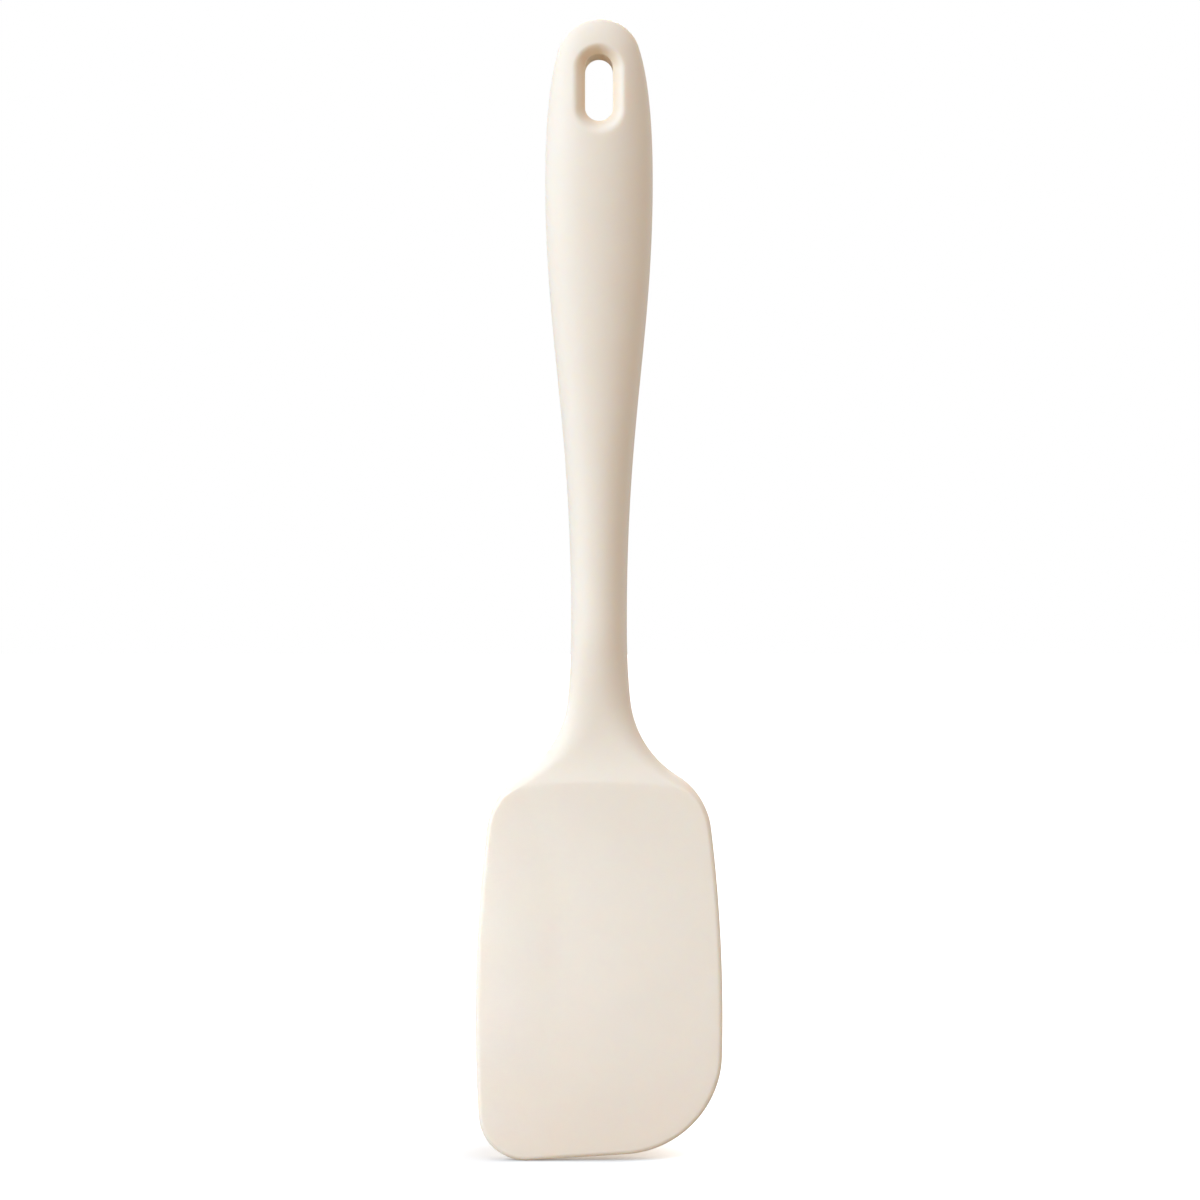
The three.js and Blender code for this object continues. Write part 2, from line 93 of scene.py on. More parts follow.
# Thickness along the centreline
END_THICKNESS = 12.6
HANDLE_THICKNESS = 15
NECK_THICKNESS = 12.2
SCOOP_THICKNESS = 6.4
SCOOP_RISE = 10.5  # thinnest part of the scoop above the ridge
RIDGE_THICKNESS = 10
RIDGE_RISE = 13.8  # ridge above the shoulder's centre
TIP_THICKNESS = 2.8
EDGE_ROUND = 1.3  # rounding along the front and back of the blade's edge
EDGE_DROP = 5  # that edge is fully formed this far below the shoulder's centre
RIDGE_ROUND = 2.6  # rounding of the edge at the ends of the ridge
ROUND_RISE = 20  # the neck is fully round this far above the ridge
RIDGE_CRISPNESS = 45  # exponent of the soft minimum that rounds the ridge
RIDGE_BOW = 150  # radius of the ridge line in the front view, whose ends droop a little

# Hanging slot
SLOT_WIDTH = 7
SLOT_LENGTH = 16.9
SLOT_DROP = 8.9  # from the handle's end to the top of the slot
LIP_TOP = 1.6  # width of its flared lip, at the top, sides and bottom
LIP_SIDE = 2.45
LIP_BOTTOM = 3
LIP_DEPTH = 2.5  # how far the lip slopes down into the slot
LIP_ROUND = 0.7  # rounding where the lip starts

# Fineness of the surface
OUTLINE_STEP = 0.1
EYE_RIBS = 110
FINE_STEP = 0.35  # between ribs round the ridge
PLAIN_STEP = 0.8  # between ribs elsewhere
FINE_MARGIN = 6  # fine ribs go on this far past the ridge's surroundings
FOOT_RIBS = 240
EDGE_SAMPLES = 14
INNER_SAMPLES = 22
WALL_SAMPLES = 10
RIB_SLANT = 8  # droop of the ribs just below the slot, levelling out by the neck
SPINE_FOOT = 12  # height where the blade's lowest ribs meet
LEAST_FACING = 0.4  # how squarely a rib crosses the rounded edge, at least
MOST_EDGE_SHARE = 0.5  # share of a rib that counts as its edge, at most
WELD_GAP = 0.002  # points closer than this become one
SLIVER = 0.001  # edges shorter than this go

# Heights and centres that follow from the sizes above
WIDEST_HEIGHT = WIDE_CORNER_LIFT + WIDE_CORNER + SIDE_DROP
SIDE_CENTRE = np.array((BLADE_WIDTH / 2 - SIDE_RADIUS, WIDEST_HEIGHT))
BELLY_HEIGHT = LENGTH - BELLY_DROP
END_CENTRE = np.array((0, LENGTH - END_RADIUS))
RIDGE_HEIGHT = SHOULDER_HEIGHT + RIDGE_RISE
SCOOP_HEIGHT = RIDGE_HEIGHT + SCOOP_RISE
EDGE_HEIGHT = SHOULDER_HEIGHT - EDGE_DROP
SLOT_RADIUS = SLOT_WIDTH / 2
SLOT_UPPER = LENGTH - SLOT_DROP - SLOT_RADIUS
SLOT_LOWER = LENGTH - SLOT_DROP - SLOT_LENGTH + SLOT_RADIUS
SLOT_BOTTOM = SLOT_LOWER - SLOT_RADIUS

# The photograph's frame
FRAME_SIDE = 300.3  # the square that the picture shows at the parting plane
FRAME_MIDDLE = (0.25, 140.15)  # its middle, across and above the tip
CAMERA_DISTANCE = 650
SENSOR_WIDTH = 36

# Materials. Colours are linear red, green, blue and alpha
NOISE_SPAN = (0.3, 0.7)  # where nearly all values of a noise lie

# Silicone
CREAM = (0.87, 0.803, 0.718, 1)
PALE_CREAM = (0.88, 0.817, 0.733, 1)
SLOT_PAINTED_SHADE = (0.835, 0.72, 0.575, 1)  # painted shade: a darker, warmer cream on the slot's walls, standing in for the light that bounces about in the slot
CLOUD_WIDTH = 16
CLOUD_ROUGHNESS = (0.40, 0.46)
GRAIN_WIDTH = 0.35
GRAIN_HEIGHT = 0.008
GRAIN_ROUGHNESS = (0.0, 0.06)  # on top of the clouds' roughness
SWELL_WIDTH = 3
SWELL_HEIGHT = 0.012
PARTING_HEIGHT = 0.02
PARTING_INNER = 0.03  # the parting line is full up to this far from the parting plane
PARTING_OUTER = 0.12  # and gone from here on

# Nylon
DARK_NYLON = (0.56, 0.52, 0.42, 1)
PALE_NYLON = (0.62, 0.58, 0.48, 1)
FIBRE = (0.78, 0.76, 0.68, 1)
FIBRE_WIDTH = 0.4
FIBRE_STRETCH = (1, 1, 0.2)  # fibres are five times as long, up the handle
FIBRE_SHARE = 0.35  # of the fibres' colour where they show most
FIBRE_HEIGHT = 0.02
NYLON_CLOUD_WIDTH = 9
NYLON_ROUGHNESS = (0.5, 0.62)

# Floor
FLOOR_REACH = 6  # metres to each side
CONTACT_PLACE = -15  # middle of the edge that stands on it, to the left of the centreline
CONTACT_WIDTH = 4  # the painted contact shadow deepens this close to the blade
# the floor's colour in the painted contact shadow, and in the open
SHADED_FLOOR = (0.78, 0.83, 0.9, 1)
OPEN_FLOOR = (1.14, 1.15, 1.17, 1)
FLOOR_GLOW = (0.9, 0.95, 1.0, 1)
GLOW_START = 15  # the glow sets in this far from the contact
GLOW_FULL = 60

# Light, with lengths in metres and power in watts
SURROUNDINGS = (0.53, 0.435, 0.345, 1)
BEHIND_SPAN = (-0.1, 0.3)  # how far back a direction points where the shade sets in and is full
BELOW_SPAN = (0.1, -0.3)  # and how far up
SHADE = 0.8  # share of the surroundings' light that is missing where both are full
COOL_LIGHT = (0.685, 0.845, 1.0)
NEUTRAL_LIGHT = (1.0, 0.97, 0.93)
BOX_SIDE = 1.4
BOX_DISTANCE = 2.0
SOFT_BOXES = {  # power, and degrees round from the front to the right and up
    "key": (37.5, -58, 22),
    "high": (8.5, 15, 65),
    "rim": (6.5, 120, 5),
    "rear": (31.0, 180, 45),
}
BLADE_DROP = 0.085  # middle of the blade below the picture's middle
BEAM_SIDE = 0.06
BEAM_POWER = 0.0029
BEAM_SPREAD = math.radians(40)
BEAM_AZIMUTH = -10
BEAM_DISTANCE = 0.25
BEAM_SHIFT = 0.012  # aimed this far to the right of the blade's middle
SPOT_POWER = 1.9
SPOT_CONE = math.radians(25)
SPOT_RADIUS = 0.02
SPOT_DISTANCE = 0.5
SPOT_SHIFT = -0.1  # aimed this far to the left, past the blade's edge


def mix(a, b, share):
    return a + (b - a) * share


def smoothstep(value, low, high):
    t = np.clip((value - low) / (high - low), 0, 1)
    return t * t * (3 - 2 * t)


def round_inside_side(radius, height):
    """The centre of a round, at this height, that the blade's right side runs smoothly into."""
    reach = SIDE_RADIUS - radius
    rise = height - SIDE_CENTRE[1]
    return np.array((SIDE_CENTRE[0] + math.sqrt(reach**2 - rise**2), height))


def flare_centre():
    """The centre of the hollow that touches the shoulder's round and the side of the neck."""
    x = NECK_WIDTH / 2 + NECK_SWELL + FLARE_RADIUS
    reach = FLARE_RADIUS + SHOULDER_RADIUS
    across = x - SHOULDER[0]
    return np.array((x, SHOULDER[1] + math.sqrt(reach**2 - across**2)))


SHOULDER = round_inside_side(SHOULDER_RADIUS, SHOULDER_HEIGHT)
FLARE = flare_centre()
NECK_HEIGHT = FLARE[1] + NECK_RISE


def direction(a, b):
    """The angle of the line from one point to another."""
    return math.atan2(b[1] - a[1], b[0] - a[0])


def arc(centre, radius, start, end):
    count = math.ceil(abs(end - start) * radius / OUTLINE_STEP)
    angles = np.linspace(start, end, count + 1)
    return np.asarray(centre) + radius * np.column_stack((np.cos(angles), np.sin(angles)))


def ease(start, leave, target, arrive, shares):
    """An S-curve down to a point, leaving along one direction and arriving along another."""
    run = start[1] - target[1]
    first = start + shares[0] * run * leave
    last = target - shares[1] * run * arrive
    t = np.linspace(0, 1, math.ceil(run / OUTLINE_STEP) + 1)[:, None]
    s = 1 - t
    return s**3 * start + 3 * s * s * t * first + 3 * s * t * t * last + t**3 * target


def joined(*lines):
    """Lines that follow each other as one, without the repeated points where they meet."""
    return np.concatenate([lines[0], *(line[1:] for line in lines[1:])])


def spread(line, count):
    """Evenly spaced points along an open line."""
    run = np.concatenate(([0], np.cumsum(np.linalg.norm(np.diff(line, axis=0), axis=1))))
    places = np.linspace(0, run[-1], count + 1)
    return np.column_stack([np.interp(places, run, line[:, i]) for i in (0, 1)])


def flipped(line):
    return line * (-1, 1)


def outline_side():
    """The right side, from the end of the handle down to the widest part of the blade."""
    down = np.array((0, -1))
    end_way = np.array((math.sin(END_TURN), -math.cos(END_TURN)))
    flare_way = np.array((math.sin(FLARE_TURN), -math.cos(FLARE_TURN)))
    flare_end = direction(FLARE, SHOULDER)
    shoulder_end = direction(SIDE_CENTRE, SHOULDER)
    end = arc(END_CENTRE, END_RADIUS, math.pi / 2, END_TURN)
    flare = arc(FLARE, FLARE_RADIUS, math.pi + FLARE_TURN, 2 * math.pi + flare_end)
    belly = np.array((BELLY_WIDTH / 2, BELLY_HEIGHT))
    neck = np.array((NECK_WIDTH / 2, NECK_HEIGHT))
    return joined(
        end,
        ease(end[-1], end_way, belly, down, BELLY_CURVE),
        ease(belly, down, neck, down, NECK_CURVE),
        ease(neck, down, flare[0], flare_way, FLARE_CURVE),
        flare,
        arc(SHOULDER, SHOULDER_RADIUS, flare_end + math.pi, shoulder_end),
        arc(SIDE_CENTRE, SIDE_RADIUS, shoulder_end, 0),
    )


def outline_foot():
    """The lower edge of the blade, from its widest part on the right round to that on the left."""
    wide = round_inside_side(WIDE_CORNER, WIDE_CORNER_LIFT + WIDE_CORNER)
    tight = round_inside_side(TIGHT_CORNER, TIGHT_CORNER)
    across = wide[0] + tight[0]
    rise = wide[1] - tight[1]
    dip = math.asin((WIDE_CORNER - TIGHT_CORNER) / math.hypot(across, rise))
    under = math.atan2(rise, across) - dip - math.pi / 2
    wide_start = direction(SIDE_CENTRE, wide)
    tight_end = -math.pi - direction(SIDE_CENTRE, tight)
    wide_corner = arc(wide, WIDE_CORNER, wide_start, under)
    tight_corner = arc(flipped(tight), TIGHT_CORNER, under, tight_end)
    edge = np.array((wide_corner[-1], tight_corner[0]))
    straight = spread(edge, math.ceil(np.linalg.norm(edge[1] - edge[0]) / OUTLINE_STEP))
    return joined(
        arc(SIDE_CENTRE, SIDE_RADIUS, 0, wide_start),
        wide_corner,
        straight,
        tight_corner,
        arc(flipped(SIDE_CENTRE), SIDE_RADIUS, tight_end, -math.pi),
    )


def slot_half():
    """The right half of the slot's rim, from its top to its bottom."""
    return joined(
        arc((0, SLOT_UPPER), SLOT_RADIUS, math.pi / 2, 0),
        np.array(((SLOT_RADIUS, SLOT_UPPER), (SLOT_RADIUS, SLOT_LOWER))),
        arc((0, SLOT_LOWER), SLOT_RADIUS, 0, -math.pi / 2),
    )


def distance_to(line, places):
    """The distance from each place to a closed line of closely spaced points."""
    tree = KDTree(len(line))
    for i, (x, z) in enumerate(line):
        tree.insert((x, z, 0), i)
    tree.balance()
    nearest = np.array([tree.find((x, z, 0))[1] for x, z in places])
    gaps = []
    for step in (-1, 1):
        along = line[(nearest + step) % len(line)] - line[nearest]
        offset = places - line[nearest]
        share = np.clip((offset * along).sum(1) / (along**2).sum(1), 0, 1)
        gaps.append(np.linalg.norm(offset - share[:, None] * along, axis=1))
    return np.minimum(*gaps)


def stem_depth(z):
    """Half the thickness of the handle, neck and scoop on the centreline."""
    end = mix(HANDLE_THICKNESS, END_THICKNESS, smoothstep(z, BELLY_HEIGHT, LENGTH))
    handle = mix(NECK_THICKNESS, HANDLE_THICKNESS, smoothstep(z, NECK_HEIGHT, BELLY_HEIGHT))
    neck = mix(SCOOP_THICKNESS, NECK_THICKNESS, smoothstep(z, SCOOP_HEIGHT, NECK_HEIGHT))
    climb = mix(SCOOP_THICKNESS, RIDGE_THICKNESS, ((SCOOP_HEIGHT - z) / SCOOP_RISE) ** 2)
    above = [z > BELLY_HEIGHT, z > NECK_HEIGHT, z > SCOOP_HEIGHT]
    return np.select(above, [end, handle, neck], climb) / 2


def blade_depth(z):
    """Half the thickness between the blade's two flat faces."""
    return mix(TIP_THICKNESS, RIDGE_THICKNESS, z / RIDGE_HEIGHT) / 2


def soft_minimum(a, b):
    """The smaller of two depths, with a small round where they cross."""
    least = np.minimum(a, b)
    ratio = least / np.maximum(np.maximum(a, b), TINY)
    return least / (1 + ratio**RIDGE_CRISPNESS) ** (1 / RIDGE_CRISPNESS)


def rounded(share):
    """A quarter-round: 0 at an edge, 1 once the rounding is complete."""
    return np.sqrt(1 - (1 - np.clip(share, 0, 1)) ** 2)


def round_reach(outline, z):
    """How far the round sides reach in from the outline: to the centreline on the handle and neck, less
    at the handle's end, and narrowing above the ridge to the rounded edge of the blade."""
    end = mix(BELLY_WIDTH / 2, END_ROUND, smoothstep(z, BELLY_HEIGHT, LENGTH))
    edge = mix(EDGE_ROUND, RIDGE_ROUND, smoothstep(z, EDGE_HEIGHT, RIDGE_HEIGHT))
    half_width = distance_to(outline, np.column_stack((np.zeros(len(z)), z)))
    stem = mix(edge, half_width, smoothstep(z, RIDGE_HEIGHT, RIDGE_HEIGHT + ROUND_RISE))
    return np.where(z > BELLY_HEIGHT, end, stem)


def wall_depth(z):
    """Half the height of the straight wall along the outline: along the edge of the blade, fading out
    by the scoop, and round the end of the handle, fading in beside the slot."""
    blade = (blade_depth(z) - EDGE_ROUND) * (1 - smoothstep(z, EDGE_HEIGHT, SCOOP_HEIGHT))
    return blade + END_WALL / 2 * smoothstep(z, SLOT_BOTTOM, LENGTH)


def slot_lip(places):
    """How far the lip of the slot sinks below the surface round it."""
    x, z = places.T
    past = z - np.clip(z, SLOT_LOWER, SLOT_UPPER)
    away = np.maximum(np.hypot(x, past), SLOT_RADIUS)
    width = mix(LIP_SIDE, np.where(past > 0, LIP_TOP, LIP_BOTTOM), np.abs(past) / away)
    return LIP_DEPTH / width * soft_ramp(width - away + SLOT_RADIUS, LIP_ROUND)


def soft_ramp(rise, round_width):
    """A ramp that rises from zero, with a round where it starts."""
    start = (rise + round_width) ** 2 / (4 * round_width)
    return np.where(np.abs(rise) > round_width, np.maximum(rise, 0), start)


def jacket_depth(outline, places):
    """Half the jacket's thickness at places of its front view."""
    x, z = places.T
    inside = distance_to(outline, places)
    wall = wall_depth(z)
    middle = stem_depth(z + x**2 / (2 * RIDGE_BOW))
    stem = mix(wall, middle, rounded(inside / round_reach(outline, z)))
    blade = mix(wall, blade_depth(z), rounded(inside / EDGE_ROUND))
    return soft_minimum(stem, blade) - slot_lip(places)


def rib_heights():
    """Heights of the ribs from the slot down to the widest part of the blade, close round the ridge."""
    fine_top = NECK_HEIGHT
    fine_bottom = EDGE_HEIGHT - FINE_MARGIN
    stops = (SLOT_BOTTOM, fine_top, fine_bottom, WIDEST_HEIGHT)
    steps = (PLAIN_STEP, FINE_STEP, PLAIN_STEP)
    runs = [
        np.linspace(upper, lower, math.ceil((upper - lower) / step) + 1)
        for upper, lower, step in zip(stops, stops[1:], steps)
    ]
    return np.concatenate([run[1:] for run in runs])


def level_point(side, z):
    """Where the rib that starts from the centreline at this height meets the outline."""
    level = z - RIB_SLANT * smoothstep(z, NECK_HEIGHT, SLOT_BOTTOM)
    return np.column_stack((np.interp(-level, -side[:, 1], side[:, 0]), level))


def ribs_across(side, foot):
    """Outer and inner ends of the ribs across the front view, clockwise from the end of the handle.
    They run in from the outline to the slot's rim, to the centreline, or to the spine of the blade."""
    last_eye = level_point(side, np.array([SLOT_BOTTOM]))
    beside = joined(side[side[:, 1] > last_eye[0, 1]], last_eye[[0, 0]])
    heights = rib_heights()
    outer_right = np.concatenate((spread(beside, EYE_RIBS), level_point(side, heights)))
    centreline = np.column_stack((np.zeros(len(heights)), heights))
    inner_right = np.concatenate((spread(slot_half(), EYE_RIBS), centreline))

    shares = np.linspace(-1, 1, FOOT_RIBS + 1)[1:-1]
    spine = mix(SPINE_FOOT, WIDEST_HEIGHT, np.abs(shares) ** 2)
    outer_foot = spread(foot, FOOT_RIBS)[1:-1]
    inner_foot = np.column_stack((np.zeros(len(spine)), spine))

    outer = np.concatenate((outer_right, outer_foot, flipped(outer_right[:0:-1])))
    inner = np.concatenate((inner_right, inner_foot, flipped(inner_right[:0:-1])))
    return outer, inner


def rib_shares(edge_share):
    """Places along the ribs, as shares of their lengths, close together at both ends."""
    edge = 1 - np.cos(np.linspace(0, math.pi / 2, EDGE_SAMPLES + 1))
    inner = np.sin(np.linspace(0, math.pi / 2, INNER_SAMPLES + 1))[1:]
    edge_share = edge_share[:, None]
    return np.concatenate((edge_share * edge, mix(edge_share, 1, inner)), axis=1)


def edge_shares(outline, outer, inner):
    """The share of each rib that crosses the rounded edge, allowing for ribs that cross it aslant."""
    along = inner - outer
    length = np.linalg.norm(along, axis=1)
    edge_way = np.roll(outer, -1, axis=0) - np.roll(outer, 1, axis=0)
    normal = np.column_stack((edge_way[:, 1], -edge_way[:, 0]))
    facing = np.abs((along * normal).sum(1)) / (length * np.linalg.norm(normal, axis=1))
    width = round_reach(outline, outer[:, 1]) / np.maximum(facing, LEAST_FACING)
    return np.minimum(MOST_EDGE_SHARE, width / length)


def front_surface():
    """Points of the front surface in rows along its ribs, clockwise from the end of the handle."""
    side = outline_side()
    foot = outline_foot()
    outline = np.concatenate((side, foot[1:], flipped(side[-2:0:-1])))
    outer, inner = ribs_across(side, foot)
    shares = rib_shares(edge_shares(outline, outer, inner))[:, :, None]
    places = outer[:, None] + shares * (inner - outer)[:, None]
    flat = places.reshape(-1, 2)
    depth = jacket_depth(outline, flat).reshape(shares.shape[:2])
    return np.stack((places[:, :, 0], -depth, places[:, :, 1]), axis=2)


def grid_faces(first, rows, columns):
    """Quads between neighbouring rows of a grid of points, whose last row meets its first."""
    index = first + np.arange(rows * columns).reshape(rows, columns)
    following = np.roll(index, -1, axis=0)
    quads = np.stack((index[:, :-1], index[:, 1:], following[:, 1:], following[:, :-1]), axis=2)
    return quads.reshape(-1, 4)


def wall_behind(rim):
    """Points of the straight wall behind a rim of the front surface, in rows through the thickness."""
    wall = np.repeat(rim[:, None], WALL_SAMPLES + 1, axis=1)
    wall[:, :, 1] *= np.linspace(1, -1, WALL_SAMPLES + 1)
    return wall


def make_jacket(tip):
    """The seamless silicone jacket as one closed mesh, with the tip of the blade at this height."""
    front = front_surface()
    slot_rim = np.concatenate((front[: EYE_RIBS + 1, -1], front[-EYE_RIBS:, -1]))
    parts = (front, front * (1, -1, 1), wall_behind(front[:, 0]), wall_behind(slot_rim))
    points = []
    faces = []
    for part in parts:
        faces.extend(grid_faces(len(points), *part.shape[:2]).tolist())
        points.extend((part.reshape(-1, 3) * MILLIMETRE + (0, 0, tip)).tolist())
    mesh = bpy.data.meshes.new("silicone_jacket")
    mesh.from_pydata(points, [], faces)
    weld(mesh)
    mesh.shade_smooth()
    jacket = bpy.data.objects.new("silicone_jacket", mesh)
    bpy.context.scene.collection.objects.link(jacket)
    return jacket


def weld(mesh):
    """Joins points that lie together, so that front, back and walls are one closed surface."""
    work = bmesh.new()
    work.from_mesh(mesh)
    bmesh.ops.remove_doubles(work, verts=work.verts, dist=WELD_GAP * MILLIMETRE)
    bmesh.ops.dissolve_degenerate(work, edges=work.edges, dist=SLIVER * MILLIMETRE)
    bmesh.ops.recalc_face_normals(work, faces=work.faces)
    work.to_mesh(mesh)
    work.free()


class Nodes:
    """The node tree of a material or world, with short calls to add and join nodes."""

    def __init__(self, owner):
        owner.use_nodes = True
        self.tree = owner.node_tree
        self.tree.nodes.clear()

    def add(self, kind, settings=(), **inputs):
        """A node. Settings are its properties; an input is a value, or another node's output."""
        node = self.tree.nodes.new(kind)
        for name, value in dict(settings).items():
            setattr(node, name, value)
        for name, value in inputs.items():
            self.feed(node.inputs[name.replace("_", " ")], value)
        return node

    def feed(self, socket, value):
        if isinstance(value, bpy.types.NodeSocket):
            self.tree.links.new(value, socket)
        else:
            socket.default_value = value

    def maths(self, operation, *values):
        node = self.add("ShaderNodeMath", {"operation": operation})
        for socket, value in zip(node.inputs, values):
            self.feed(socket, value)
        return node.outputs[0]

    def carry(self, value, span, target, interpolation):
        """Carries a value from one span of numbers to another, and holds it at the ends."""
        node = self.add(
            "ShaderNodeMapRange",
            {"interpolation_type": interpolation},
            Value=value,
            From_Min=span[0],
            From_Max=span[1],
            To_Min=target[0],
            To_Max=target[1],
        )
        return node.outputs["Result"]

    def step(self, value, start, end, low=0.0, high=1.0):
        """A smooth change from low to high as the value goes from start to end."""
        return self.carry(value, (start, end), (low, high), "SMOOTHSTEP")

    def noise(self, place, feature, detail=2):
        """Cloudy noise from 0 to 1 whose features are about this many millimetres across."""
        scale = 1 / (feature * MILLIMETRE)
        node = self.add("ShaderNodeTexNoise", Vector=place, Scale=scale, Detail=detail)
        return node.outputs[0]

    def ramp(self, value, low, high):
        """An even change from low to high over the span of a noise."""
        return self.carry(value, NOISE_SPAN, (low, high), "LINEAR")

    def blend(self, factor, a, b):
        node = self.add("ShaderNodeMix", {"data_type": "RGBA"})
        for name, value in (("Factor_Float", factor), ("A_Color", a), ("B_Color", b)):
            socket = next(s for s in node.inputs if s.identifier == name)
            self.feed(socket, value)
        return next(s for s in node.outputs if s.identifier == "Result_Color")


def shader_of(nodes, **inputs):
    """A principled shader, joined to the material's output."""
    shader = nodes.add("ShaderNodeBsdfPrincipled", **inputs)
    nodes.add("ShaderNodeOutputMaterial", Surface=shader.outputs[0])


def slot_shade_share(nodes, x, z, tip):
    """Where the slot's painted shade goes: 1 on the walls of the hanging slot, fading out across its
    lip.
    """
    lower = tip + SLOT_LOWER * MILLIMETRE
    upper = tip + SLOT_UPPER * MILLIMETRE
    nearest = nodes.maths("MAXIMUM", nodes.maths("MINIMUM", z, upper), lower)
    past = nodes.maths("SUBTRACT", z, nearest)
    offset = nodes.add("ShaderNodeCombineXYZ", X=x, Y=past).outputs[0]
    away = nodes.add("ShaderNodeVectorMath", {"operation": "LENGTH"}, Vector=offset).outputs["Value"]
    wall = SLOT_RADIUS * MILLIMETRE
    lip = (SLOT_RADIUS + LIP_SIDE) * MILLIMETRE
    return nodes.step(away, wall, lip, 1.0, 0.0)


def parting_line(nodes, through):
    """1 on the line where the mould's halves met, fading out to both sides."""
    away = nodes.maths("ABSOLUTE", through)
    return nodes.step(away, PARTING_INNER * MILLIMETRE, PARTING_OUTER * MILLIMETRE, 1.0, 0.0)


def silicone_material(tip):
    """Satin cream silicone: faint clouding, painted shade in the slot (a darker, warmer cream standing
    in for the light that bounces about in it), a fine mould grain and a thin parting line."""
    material = bpy.data.materials.new("silicone")
    nodes = Nodes(material)
    place = nodes.add("ShaderNodeTexCoord").outputs["Object"]
    x, through, z = nodes.add("ShaderNodeSeparateXYZ", Vector=place).outputs
    clouds = nodes.noise(place, CLOUD_WIDTH, 3)
    grain = nodes.noise(place, GRAIN_WIDTH, 3)
    swell = nodes.noise(place, SWELL_WIDTH)
    line = nodes.maths("MULTIPLY", parting_line(nodes, through), PARTING_HEIGHT)
    fine = nodes.maths("MULTIPLY", grain, GRAIN_HEIGHT)
    coarse = nodes.maths("MULTIPLY", swell, SWELL_HEIGHT)
    height = nodes.maths("ADD", nodes.maths("ADD", fine, coarse), line)
    bump = nodes.add("ShaderNodeBump", Strength=0.6, Distance=MILLIMETRE, Height=height)
    colour = nodes.blend(nodes.ramp(clouds, 0.0, 1.0), CREAM, PALE_CREAM)
    # painted shade: the slot's walls take a darker, warmer cream in place of the light that bounces
    # about in the slot
    colour = nodes.blend(slot_shade_share(nodes, x, z, tip), colour, SLOT_PAINTED_SHADE)
    cloud_roughness = nodes.ramp(clouds, *CLOUD_ROUGHNESS)
    grain_roughness = nodes.ramp(grain, *GRAIN_ROUGHNESS)
    roughness = nodes.maths("ADD", cloud_roughness, grain_roughness)
    shader_of(
        nodes,
        Base_Color=colour,
        Roughness=roughness,
        IOR=1.41,
        Specular_IOR_Level=0.35,
        Subsurface_Weight=0.7,
        Subsurface_Radius=(1.0, 0.75, 0.55),
        Subsurface_Scale=0.0022,
        Normal=bump.outputs[0],
    )
    return material


def nylon_material():
    """Natural glass-filled nylon: off-white, with short pale fibre flecks and a dry finish."""
    material = bpy.data.materials.new("nylon")
    nodes = Nodes(material)
    place = nodes.add("ShaderNodeTexCoord").outputs["Object"]
    stretched = nodes.add("ShaderNodeMapping", Vector=place, Scale=FIBRE_STRETCH).outputs[0]
    flecks = nodes.noise(stretched, FIBRE_WIDTH, 4)
    clouds = nodes.noise(place, NYLON_CLOUD_WIDTH)
    base = nodes.blend(nodes.ramp(clouds, 0.0, 1.0), DARK_NYLON, PALE_NYLON)
    colour = nodes.blend(nodes.ramp(flecks, 0.0, FIBRE_SHARE), base, FIBRE)
    relief = FIBRE_HEIGHT * MILLIMETRE
    bump = nodes.add("ShaderNodeBump", Strength=0.4, Distance=relief, Height=flecks)
    shader_of(
        nodes,
        Base_Color=colour,
        Roughness=nodes.ramp(flecks, *NYLON_ROUGHNESS),
        IOR=1.53,
        Normal=bump.outputs[0],
    )
    return material


def floor_material():
    """A white floor that glows away from the spatula, so that only the contact shadow is darker than
    white. Near the blade, ambient occlusion darkens its colour: a painted contact shadow on top of the
    cast one."""
    material = bpy.data.materials.new("white_floor")
    nodes = Nodes(material)
    place = nodes.add("ShaderNodeTexCoord").outputs["Object"]
    distance = nodes.add("ShaderNodeVectorMath", {"operation": "LENGTH"}, Vector=place).outputs["Value"]
    glow = nodes.step(distance, GLOW_START * MILLIMETRE, GLOW_FULL * MILLIMETRE)
    reach = CONTACT_WIDTH * MILLIMETRE
    # painted shadow: ambient occlusion darkens the floor's colour close to the blade
    open_share = nodes.add("ShaderNodeAmbientOcclusion", Distance=reach).outputs["AO"]
    shader_of(
        nodes,
        Base_Color=nodes.blend(open_share, SHADED_FLOOR, OPEN_FLOOR),
        Roughness=0.9,
        Emission_Color=FLOOR_GLOW,
        Emission_Strength=glow,
    )
    return material


def dress(piece, material):
    piece.data.materials.clear()
    piece.data.materials.append(material)


def make_floor(level):
    """A wide floor. Only the camera sees it, so it adds no light to the spatula."""
    half = FLOOR_REACH
    corners = [(-half, -half, 0), (half, -half, 0), (half, half, 0), (-half, half, 0)]
    mesh = bpy.data.meshes.new("floor")
    mesh.from_pydata(corners, [], [(0, 1, 2, 3)])
    floor = bpy.data.objects.new("floor", mesh)
    floor.location = (CONTACT_PLACE * MILLIMETRE, 0, level)
    floor.visible_diffuse = False
    floor.visible_glossy = False
    floor.visible_shadow = False
    bpy.context.scene.collection.objects.link(floor)
    dress(floor, floor_material())


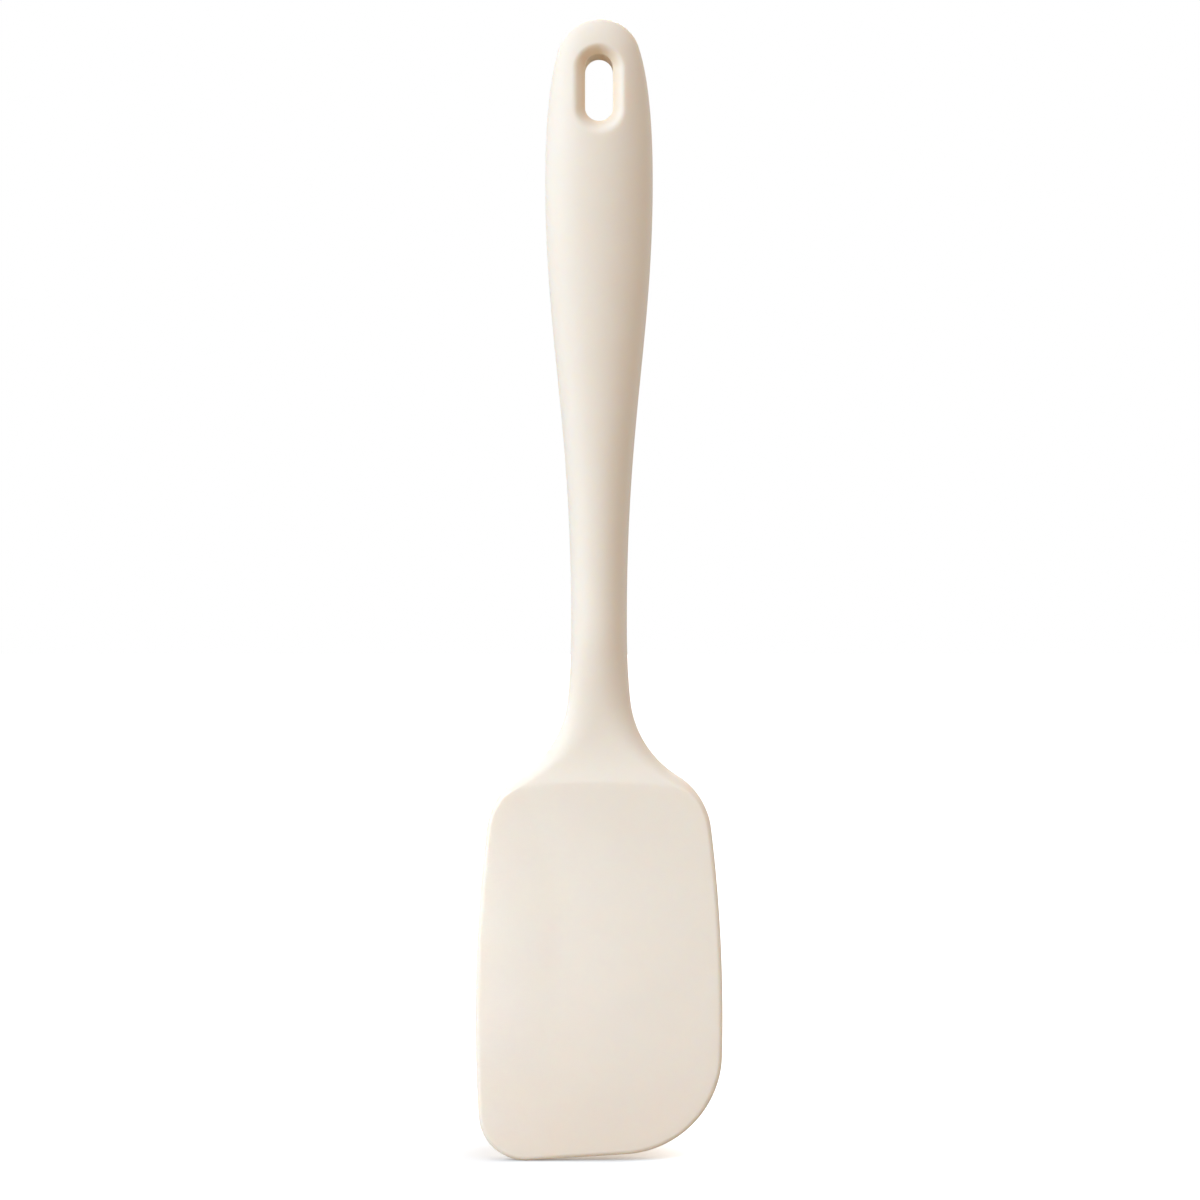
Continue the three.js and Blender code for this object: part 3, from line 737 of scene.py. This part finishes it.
def make_world():
    """A white background for the camera, and a dimmer warm light for the object, which is weak where it
    comes from both below and behind."""
    world = bpy.data.worlds.new("studio")
    bpy.context.scene.world = world
    nodes = Nodes(world)
    seen = nodes.add("ShaderNodeBackground", Color=(1, 1, 1, 1), Strength=1.0)
    place = nodes.add("ShaderNodeTexCoord").outputs["Generated"]
    way = nodes.add("ShaderNodeSeparateXYZ", Vector=place)
    behind = nodes.step(way.outputs["Y"], *BEHIND_SPAN)
    below = nodes.step(way.outputs["Z"], *BELOW_SPAN)
    shade = nodes.maths("MULTIPLY", nodes.maths("MULTIPLY", behind, below), SHADE)
    strength = nodes.maths("SUBTRACT", 1.0, shade)
    lighting = nodes.add("ShaderNodeBackground", Color=SURROUNDINGS, Strength=strength)
    camera_ray = nodes.add("ShaderNodeLightPath").outputs["Is Camera Ray"]
    both = nodes.add("ShaderNodeMixShader", Fac=camera_ray)
    nodes.feed(both.inputs[1], lighting.outputs[0])
    nodes.feed(both.inputs[2], seen.outputs[0])
    nodes.add("ShaderNodeOutputWorld", Surface=both.outputs[0])


def aim(item, place, target):
    item.location = place
    item.rotation_euler = (Vector(target) - Vector(place)).to_track_quat("-Z", "Y").to_euler()


def hang_light(light, target, azimuth, elevation, distance):
    """Hangs a light round a point, by degrees from the front and a distance, and aims it there."""
    light.color = COOL_LIGHT
    item = bpy.data.objects.new(light.name, light)
    item.visible_camera = False
    bpy.context.scene.collection.objects.link(item)
    across = math.radians(azimuth)
    up = math.radians(elevation)
    way = Vector((math.sin(across) * math.cos(up), -math.cos(across) * math.cos(up), math.sin(up)))
    aim(item, target + distance * way, target)
    return item


def soft_box(name, side, power):
    light = bpy.data.lights.new(name, "AREA")
    light.size = side
    light.energy = power
    return light


def light_only(light, piece):
    """Keeps a light to one piece, so that it throws no shadow on the floor."""
    light.light_linking.receiver_collection = bpy.data.collections.new("lit_from_behind")
    light.light_linking.receiver_collection.objects.link(piece)


def make_lights(middle, jacket):
    """A broad key from the left, a high light that models the ridge, one from behind on the right for
    the rim, and one for the back of the spatula alone."""
    boxes = {}
    for name, (power, azimuth, elevation) in SOFT_BOXES.items():
        light = soft_box(name, BOX_SIDE, power)
        boxes[name] = hang_light(light, middle, azimuth, elevation, BOX_DISTANCE)
    boxes["rear"].data.color = NEUTRAL_LIGHT
    light_only(boxes["rear"], jacket)


def make_blade_lights(blade):
    """A small beam for the middle of the blade, and a spot past its left edge, whose fading rim lifts
    the left margin."""
    beam = soft_box("beam", BEAM_SIDE, BEAM_POWER)
    beam.spread = BEAM_SPREAD
    hang_light(beam, blade + Vector((BEAM_SHIFT, 0, 0)), BEAM_AZIMUTH, 0, BEAM_DISTANCE)
    spot = bpy.data.lights.new("spot", "SPOT")
    spot.energy = SPOT_POWER
    spot.spot_size = SPOT_CONE
    spot.spot_blend = 1.0
    spot.shadow_soft_size = SPOT_RADIUS
    hang_light(spot, blade + Vector((SPOT_SHIFT, 0, 0)), 0, 0, SPOT_DISTANCE)


def make_camera(middle):
    """A camera square on to the front, at the photograph's distance."""
    camera = bpy.data.cameras.new("camera")
    camera.sensor_width = SENSOR_WIDTH
    camera.lens = SENSOR_WIDTH * CAMERA_DISTANCE / FRAME_SIDE
    item = bpy.data.objects.new("camera", camera)
    bpy.context.scene.collection.objects.link(item)
    aim(item, middle - Vector((0, CAMERA_DISTANCE * MILLIMETRE, 0)), middle)
    bpy.context.scene.camera = item


def main():
    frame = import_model()
    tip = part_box("front_skin")[0].z
    middle = Vector((FRAME_MIDDLE[0] * MILLIMETRE, 0, tip + FRAME_MIDDLE[1] * MILLIMETRE))
    bpy.context.scene.view_settings.view_transform = "Standard"

    make_camera(middle)
    make_world()
    make_floor(tip)

    jacket = make_jacket(tip)
    make_lights(middle, jacket)
    make_blade_lights(middle - Vector((0, 0, BLADE_DROP)))
    dress(jacket, silicone_material(tip))
    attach(jacket, "root")
    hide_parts("front_skin", "back_skin")
    dress(frame["nodes"]["core"], nylon_material())


main()
